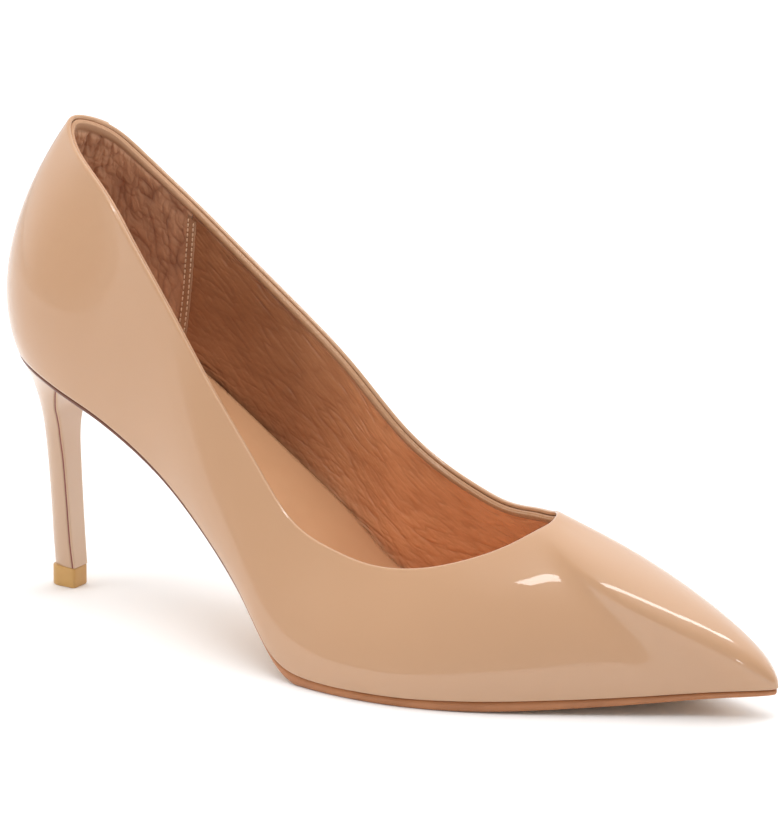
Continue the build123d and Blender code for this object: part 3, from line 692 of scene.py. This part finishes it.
def build_strips():
    """Strips that cover both lining seams."""
    points, faces = [], []
    for seam in (inner_seam, outer_seam):
        ups = np.linspace(STRIP_LOW, STRIP_HIGH, 90)
        rows = [
            strip_points(seam, ups, across * STRIP_WIDTH, height * STRIP_HEIGHT + STRIP_LIFT)
            for across, height in STRIP_SECTION
        ]
        faces += grid_faces(len(rows), len(ups), first=sum(len(row) for row in points))
        points += rows
    piece = mesh_object("seam_strips", np.concatenate(points), faces, strip_material)
    finish_piece(piece, "lining_seam_strips")


def tube(path, radius, sides=8):
    """Points and faces of a closed tube along a path, rounded off at both ends."""
    along = unit(np.gradient(path, axis=0))
    across = unit(np.cross(along, np.array([0.3, 0.9, 0.2])))
    other = np.cross(along, across)
    size = radius * np.sqrt(np.clip(1 - np.linspace(-1, 1, len(path)) ** 6, 0.05, 1))[:, None]
    angles = np.linspace(0, 2 * math.pi, sides, endpoint=False)
    rings = [path + (across * math.cos(a) + other * math.sin(a)) * size for a in angles]
    points = np.stack(rings, axis=1).reshape(-1, 3)
    faces = grid_faces(len(path), sides, close_columns=True)
    last = (len(path) - 1) * sides
    faces += [tuple(range(sides))[::-1], tuple(range(last, last + sides))]
    return points, faces


def stitch_rows(paths, radius):
    """One mesh of many separate stitches."""
    points, faces, first = [], [], 0
    for path in paths:
        more, quads = tube(path, radius)
        points.append(more)
        faces += [tuple(first + k for k in quad) for quad in quads]
        first += len(more)
    return np.concatenate(points), faces


def stitch_path(seam, across, low):
    """Middle line of one stitch: a low arch over the strip."""
    ups = np.linspace(low, low + STITCH_LENGTH, STITCH_POINTS)
    base = strip_points(seam, ups, across * STRIP_WIDTH, STITCH_BASE)
    raised = strip_points(seam, ups, across * STRIP_WIDTH, STITCH_BASE + STITCH_ARCH)
    return base + (raised - base) * np.sin(np.linspace(0, math.pi, STITCH_POINTS))[:, None]


def build_stitches():
    """Two rows of stitches down each strip."""
    paths = [
        stitch_path(seam, across, STITCH_FIRST + k * STITCH_PITCH)
        for seam in (inner_seam, outer_seam) for across in STITCH_ROWS for k in range(STITCHES)
    ]
    points, faces = stitch_rows(paths, STITCH_R)
    piece = mesh_object("seam_stitches", points, faces, thread_material)
    finish_piece(piece, "lining_seam_stitches")


build_strips()
build_stitches()

# ---- Sole and sock ----------------------------------------------------------------------
OUTLINE_MARKS = MARKS[TOE] + np.linspace(0, 1, 2001)
SOLE_RIM_INSET = 1.1
SOLE_SEAM = 0.12
UNDERSIDE_RINGS = 16
SOCK_INSET = 4.0
SOCK_START, SOCK_END = -8.0, 208
SOCK_HEIGHT = 6.0
SOCK_DISH = 1.1
SOCK_PADDING = 0.25
SOCK_THICKNESS = 0.8
CROWDING = 0.13
# Inset from the outline, and share of the height from the ground side to the seam.
SOLE_EDGE_PROFILE = [
    (2.5, 1.0), (0.75, 1.0), (0.45, 0.9), (0.4, 0.55), (0.45, 0.3), (0.65, 0.08), (SOLE_RIM_INSET, 0.0),
]


def outline_sides(inset):
    """Plan outline at an inset, split into its inner and outer side."""
    poles, outward = side_poles(OUTLINE_MARKS)
    plan = poles[0][:, :2] - outward[:, :2] * inset
    back = int(np.argmin(plan[:, 0]))
    return plan[:back + 1][::-1], plan[back:]


def widths(inset, x):
    """The outer and inner edge of the outline across each length."""
    inner, outer = outline_sides(inset)
    inner_y = np.interp(x, np.maximum.accumulate(inner[:, 0]), inner[:, 1])
    outer_y = np.interp(x, np.maximum.accumulate(outer[:, 0]), outer[:, 1])
    return outer_y, inner_y


def rounded_lengths(start, end, count):
    """Lengths from end to end, crowded towards both ends."""
    t = np.linspace(0, 1, count)
    return start + (end - start) * (t - np.sin(2 * math.pi * t) * CROWDING)


def paired_marks(inset, count):
    """Marks round the outline in pairs of equal length from the heel: outer side, then inner."""
    poles, outward = side_poles(OUTLINE_MARKS)
    lengths = poles[0][:, 0] - outward[:, 0] * inset
    back = int(np.argmin(lengths))
    inner, outer = np.maximum.accumulate(lengths[back::-1]), np.maximum.accumulate(lengths[back:])
    share = (1 - np.cos(np.linspace(0, math.pi, count))) / 2
    x = lengths[back] + (min(inner[-1], outer[-1]) - lengths[back]) * share
    outer_marks = np.interp(x, outer, OUTLINE_MARKS[back:])
    inner_marks = np.interp(x, inner, OUTLINE_MARKS[back::-1])
    return np.concatenate([outer_marks, inner_marks[-2:0:-1]])


def build_outsole():
    """Edge and underside as rings that follow the outline and meet on the middle line."""
    marks = paired_marks(SOLE_RIM_INSET, FINE // 2 + 1)
    poles, outward = side_poles(marks)
    foot = poles[0][:, :2]
    aside = outward[:, :2]

    def ring(inset, share):
        plan = foot - aside * inset
        top = bottom(plan[:, 0]) - SOLE_SEAM
        low = ground(plan[:, 0])
        return np.column_stack([plan, low + (top - low) * share])

    rings = [ring(inset, share) for inset, share in SOLE_EDGE_PROFILE]
    edge_count = len(rings)
    rim = rings[-1]
    partner = np.concatenate([[0], np.arange(len(marks) - 1, 0, -1)])
    middle = (rim + rim[partner]) / 2
    for t in np.linspace(0, 1, UNDERSIDE_RINGS)[1:]:
        inner_ring = rim + (middle - rim) * t
        inner_ring[:, 2] = ground(inner_ring[:, 0])
        rings.append(inner_ring)
    kinds = []
    for i in range(len(rings) - 1):
        kinds += [0 if i < edge_count - 1 else 1] * len(marks)
    faces = grid_faces(len(rings), len(marks), close_columns=True)
    piece = mesh_object("sole", np.concatenate(rings), faces, sole_edge, kinds, [sole_under])
    weld(piece)
    finish_piece(piece, "outsole")


def build_sock():
    """Padded sock, dished up a little along both edges."""
    x = rounded_lengths(SOCK_START, SOCK_END, 200)
    low_y, high_y = widths(SOCK_INSET, x)
    base = bottom(x) + SOCK_HEIGHT
    rows = []
    for t in np.linspace(0, 1, 41):
        y = low_y + (high_y - low_y) * t
        aside = abs(2 * t - 1)
        pad = SOCK_PADDING * smooth_noise(x / 16, y / 9) * (1 - aside ** 2)
        rows.append(np.stack([x, y, base + SOCK_DISH * aside ** 4 + pad], axis=-1))
    piece = mesh_object("sock", np.concatenate(rows), grid_faces(len(rows), len(x)), sock_material)
    solid = piece.modifiers.new("thickness", "SOLIDIFY")
    solid.thickness = SOCK_THICKNESS * MM
    solid.offset = -1
    finish_piece(piece, "sock_lining", flip=True)


build_outsole()
build_sock()

# ---- Heel -------------------------------------------------------------------------------
SEAT_GAP = 0.05
HEEL_FOOT = 5.85
CORE_INSET = 0.7
WRAP_THICKNESS = 0.6
WRAP_FULLNESS = 0.95
WRAP_ANGLES = np.linspace(-math.pi / 2, math.pi / 2, 49)
SEAT_SEARCH = (HEEL_FOOT + 30, 75.0)
SEARCH_STEPS = 50
# Half of the breast flap's section: share of the half width, and height above the breast.
FLAP_EDGE = [(1.0, 0.02), (1.02, 0.15), (1.02, 0.55), (0.985, 0.78), (0.93, 0.86), (0.8, 0.88)]
CUT_QUADS = 2


def seat_height(place):
    """Height at which a line up the heel meets the sole; place(z) gives its x."""
    low, high = SEAT_SEARCH
    for _ in range(SEARCH_STEPS):
        middle = (low + high) / 2
        x = place(middle)
        if middle < ground(x) - SEAT_GAP:
            low = middle
        else:
            high = middle
    return low


def heel_line(place, rows):
    """Points up one line of the heel, crowded where it flares."""
    top = seat_height(lambda z: place(z)[0])
    t = np.linspace(0, 1, rows)
    heights = HEEL_FOOT + (top - HEEL_FOOT) * (1 - (1 - t) ** 1.6)
    return np.array([(*place(z), z) for z in heights])


def wrap_place(angle, inset=0.0):
    """Line up the rounded back and sides of the heel."""
    def place(z):
        back, front, half = heel_level(z)
        x = front - (front - back - inset) * math.cos(angle) ** WRAP_FULLNESS
        y = (half - inset) * math.copysign(abs(math.sin(angle)) ** WRAP_FULLNESS, math.sin(angle))
        return x, y
    return place


def breast_place(across, out):
    """Line up the flat breast of the heel."""
    def place(z):
        _, front, half = heel_level(z)
        return front + out, across * half
    return place


HEEL_ROWS = 90


def build_wrap():
    """Patent wrap round the back and sides, folded in behind the breast flap."""
    outside = [heel_line(wrap_place(a), HEEL_ROWS) for a in WRAP_ANGLES]
    inside = [heel_line(wrap_place(a, WRAP_THICKNESS), HEEL_ROWS) for a in WRAP_ANGLES[::-1]]
    faces = grid_faces(2 * len(WRAP_ANGLES), HEEL_ROWS, close_rows=True)
    cover = mesh_object("heel_wrap", np.concatenate(outside + inside), faces, patent_heel)
    finish_piece(cover, "heel_cover")


def build_breast():
    """Patent flap over the breast, with its cut edge showing down each side."""
    side = FLAP_EDGE + [(across, FLAP_EDGE[-1][1]) for across in np.linspace(0.6, 0, 7)]
    path = side + [(-across, out) for across, out in side[::-1][1:]]
    flap = [heel_line(breast_place(across, out), HEEL_ROWS) for across, out in path]
    kinds = []
    for i in range(len(path) - 1):
        is_edge = i < CUT_QUADS or i >= len(path) - 1 - CUT_QUADS
        kinds += [1 if is_edge else 0] * (HEEL_ROWS - 1)
    faces = grid_faces(len(path), HEEL_ROWS)
    breast = mesh_object("heel_breast", np.concatenate(flap), faces, patent_breast_painted_light, kinds, [cut_edge])
    finish_piece(breast, "heel_breast_cover", flip=True)


def build_heel_core():
    """Moulded block inside the wrap, closed at the seat and over the top lift."""
    lines = [heel_line(wrap_place(a, CORE_INSET), HEEL_ROWS) for a in WRAP_ANGLES]
    faces = grid_faces(len(lines), HEEL_ROWS, close_rows=True)
    foot = [i * HEEL_ROWS for i in range(len(lines))]
    faces += [tuple(foot), tuple(k + HEEL_ROWS - 1 for k in reversed(foot))]
    core = mesh_object("heel_core", np.concatenate(lines), faces, core_material)
    finish_piece(core, "heel_block")


LIFT_BACK, LIFT_FRONT, LIFT_HALF = -4.25, 4.15, 3.3
# Powers of the outline's ellipse: a small one gives square corners.
FRONT_SQUARENESS = 0.24
BACK_SQUARENESS = (0.62, 0.8)
# Height and inset of each ring: rounded at the ground and at the top.
LIFT_PROFILE = [
    (0.0, 0.5), (0.05, 0.25), (0.2, 0.08), (0.45, 0.0), (3.0, 0.0), (5.45, 0.0), (5.7, 0.08), (5.82, 0.3),
]


def lift_outline(inset):
    """Outline of the top lift: flat front with rounded corners, rounded back."""
    angles = np.linspace(0, 2 * math.pi, 96, endpoint=False)
    cos, sin = np.cos(angles), np.sin(angles)
    x = np.sign(cos) * np.abs(cos) ** np.where(cos > 0, FRONT_SQUARENESS, BACK_SQUARENESS[0])
    y = np.sign(sin) * np.abs(sin) ** np.where(cos > 0, FRONT_SQUARENESS, BACK_SQUARENESS[1])
    middle, reach = (LIFT_BACK + LIFT_FRONT) / 2, (LIFT_FRONT - LIFT_BACK) / 2
    return np.stack([middle + x * (reach - inset), y * (LIFT_HALF - inset)], axis=-1)


def build_lift():
    """Wear piece under the heel, closed top and bottom."""
    rings = []
    for z, inset in LIFT_PROFILE:
        plan = lift_outline(inset)
        rings.append(np.column_stack([plan, np.full(len(plan), z)]))
    sides = len(rings[0])
    faces = grid_faces(len(rings), sides, close_columns=True)
    last = (len(rings) - 1) * sides
    faces += [tuple(range(sides))[::-1], tuple(range(last, last + sides))]
    piece = mesh_object("heel_tip", np.concatenate(rings), faces, lift_material)
    finish_piece(piece, "top_lift")


build_wrap()
build_breast()
build_heel_core()
build_lift()

# ---- Hidden pieces keep their modelled shape --------------------------------------------
def steel(name, light, dark, roughness, scale, grain_scale=800.0):
    return plain(name, light, dark, roughness, scale, grain_scale, 0.02, metallic=1.0)


HIDDEN = {
    "topline_tape": plain("tape", (0.80, 0.77, 0.68), (0.7, 0.66, 0.57), 0.8, 500.0, 1500.0, 0.1),
    "heel_counter": plain(
        "counter_board", (0.70, 0.66, 0.55), (0.6, 0.56, 0.46), 0.7, 60.0, 300.0, 0.08,
    ),
    "toe_puff": plain("puff_sheet", (0.72, 0.69, 0.6), (0.63, 0.6, 0.5), 0.65, 60.0, 300.0, 0.08),
    "insole_board": plain(
        "insole_fibre", (0.55, 0.43, 0.29), (0.44, 0.34, 0.22), 0.8, 90.0, 400.0, 0.12,
    ),
    "tuck_board": plain("tuck_fibre", (0.42, 0.31, 0.2), (0.34, 0.25, 0.16), 0.75, 70.0, 400.0, 0.12),
    "steel_shank": steel("shank_steel", (0.42, 0.43, 0.45), (0.3, 0.31, 0.34), 0.32, 40.0, 700.0),
    "shank_rivets": steel("rivet_steel", (0.55, 0.55, 0.56), (0.42, 0.42, 0.44), 0.28, 90.0, 900.0),
    "forefoot_filler": plain("felt", (0.30, 0.26, 0.22), (0.2, 0.17, 0.14), 0.95, 300.0, 900.0, 0.25),
    "sock_foam": plain("foam", (0.85, 0.80, 0.66), (0.78, 0.72, 0.57), 0.9, 200.0, 700.0, 0.3),
    "heel_tube": steel("tube_steel", (0.5, 0.5, 0.52), (0.4, 0.4, 0.42), 0.3, 60.0),
    "top_lift_pin": steel("pin_steel", (0.5, 0.5, 0.5), (0.38, 0.38, 0.4), 0.3, 60.0),
    "heel_screw": steel("screw_steel", (0.55, 0.53, 0.48), (0.42, 0.4, 0.36), 0.3, 70.0),
    "heel_nails": steel("nail_steel", (0.45, 0.45, 0.47), (0.33, 0.33, 0.35), 0.35, 70.0),
}
for node, material in HIDDEN.items():
    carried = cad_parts[node]
    carried.data.materials.clear()
    carried.data.materials.append(material)

# ---- Floor, light and camera ------------------------------------------------------------
FLOOR_SIZE = 12.0


def build_floor():
    """Plain pale floor at the height the shoe stands on."""
    mesh = bpy.data.meshes.new("floor")
    reach = FLOOR_SIZE / 2
    corners = [(-reach, -reach, 0), (reach, -reach, 0), (reach, reach, 0), (-reach, reach, 0)]
    mesh.from_pydata(corners, [], [(0, 1, 2, 3)])
    floor = bpy.data.objects.new("floor", mesh)
    bpy.context.scene.collection.objects.link(floor)
    n = Nodes("floor")
    pale = n.ramp(n.noise(2.0), [(0.3, (0.93, 0.93, 0.93)), (0.7, (0.95, 0.95, 0.95))])
    n.link(pale, n.shader.inputs["Base Color"])
    n.set(Roughness=0.6, Specular_IOR_Level=0.2)
    mesh.materials.append(n.material)


def aim(thing, target, along=None):
    """Turns a light or camera to its target, with its long side along a direction if given."""
    ahead = (Vector(target) - thing.location).normalized()
    thing.rotation_mode = "QUATERNION"
    thing.rotation_quaternion = ahead.to_track_quat("-Z", "Y")
    if along is not None:
        side = (Vector(along) - ahead * ahead.dot(Vector(along))).normalized()
        turned = Matrix((side, side.cross(ahead), -ahead)).transposed()
        thing.rotation_quaternion = turned.to_quaternion()


def softbox(name, place, target, width, height, power, mirrored, along=None):
    """Rectangular light; mirrored says whether the patent leather reflects it."""
    light = bpy.data.lights.new(name, "AREA")
    light.shape = "RECTANGLE"
    light.size, light.size_y = width, height
    light.energy = power
    box = bpy.data.objects.new(name, light)
    box.location = place
    box.visible_glossy = mirrored
    aim(box, target, along)
    bpy.context.scene.collection.objects.link(box)


def build_world():
    """White behind the shoe for the camera; a dimmer, uneven room in its reflections."""
    world = bpy.data.worlds.new("studio")
    bpy.context.scene.world = world
    world.use_nodes = True
    tree = world.node_tree
    tree.nodes.clear()
    coordinates = tree.nodes.new("ShaderNodeTexCoord")
    facing = tree.nodes.new("ShaderNodeVectorMath")
    facing.operation = "DOT_PRODUCT"
    facing.inputs[1].default_value = BACKDROP_SIDE
    tree.links.new(coordinates.outputs["Generated"], facing.inputs[0])
    level = tree.nodes.new("ShaderNodeMapRange")
    level.interpolation_type = "SMOOTHSTEP"
    level.inputs["From Min"].default_value = -0.15
    level.inputs["From Max"].default_value = 0.55
    level.inputs["To Min"].default_value = 0.42
    level.inputs["To Max"].default_value = 1.15
    tree.links.new(facing.outputs["Value"], level.inputs["Value"])
    room = tree.nodes.new("ShaderNodeBackground")
    room.inputs["Color"].default_value = (1, 1, 1, 1)
    tree.links.new(level.outputs["Result"], room.inputs["Strength"])
    white = tree.nodes.new("ShaderNodeBackground")
    white.inputs["Color"].default_value = (1, 1, 1, 1)
    white.inputs["Strength"].default_value = 1.0
    path = tree.nodes.new("ShaderNodeLightPath")
    choose = tree.nodes.new("ShaderNodeMixShader")
    tree.links.new(path.outputs["Is Camera Ray"], choose.inputs["Fac"])
    tree.links.new(room.outputs["Background"], choose.inputs[1])
    tree.links.new(white.outputs["Background"], choose.inputs[2])
    output = tree.nodes.new("ShaderNodeOutputWorld")
    tree.links.new(choose.outputs["Shader"], output.inputs["Surface"])


BACKDROP_SIDE = (-0.56, 0.83, 0.0)
AZIMUTH = math.radians(34.0)
ELEVATION = math.radians(17.14)
DISTANCE = 2.5
LENS = 399.6
AIM = Vector((0.100, 0, 0.050))
AIM_RIGHT = 0.0057
AIM_UP = 0.0141


def build_camera():
    """Long lens from in front of the outer side, a little above the shoe."""
    level = math.cos(ELEVATION)
    back = Vector((math.sin(AZIMUTH) * level, -math.cos(AZIMUTH) * level, math.sin(ELEVATION)))
    right = Vector((math.cos(AZIMUTH), math.sin(AZIMUTH), 0))
    up = back.cross(right)
    target = AIM + right * AIM_RIGHT + up * AIM_UP
    lens = bpy.data.cameras.new("camera")
    lens.lens = LENS
    lens.sensor_width = 36
    lens.clip_end = 50
    camera = bpy.data.objects.new("camera", lens)
    camera.location = target + back * DISTANCE
    aim(camera, target)
    bpy.context.scene.collection.objects.link(camera)
    bpy.context.scene.camera = camera


build_floor()
build_world()
softbox("overhead", (0.1, -0.1, 1.1), (0.1, 0, 0.05), 1.1, 0.8, 6.5, False)
softbox("front_left", (-1.1, -1.0, 0.7), (0.08, 0, 0.06), 0.9, 0.9, 7.0, False)
softbox("ridge_strip", (0.46, 0.0, 1.1), (0.19, 0, 0.03), 1.6, 0.09, 4.5, True, along=(0.17, 1.0, 0))
softbox("toe_card", (1.0, -0.75, 0.35), (0.21, 0, 0.02), 0.08, 0.16, 0.5, True)
softbox("back_fill", (0.3, 1.3, 0.8), (0.1, 0, 0.05), 1.2, 0.6, 5.0, False)
build_camera()
bpy.context.scene.view_settings.view_transform = "Standard"
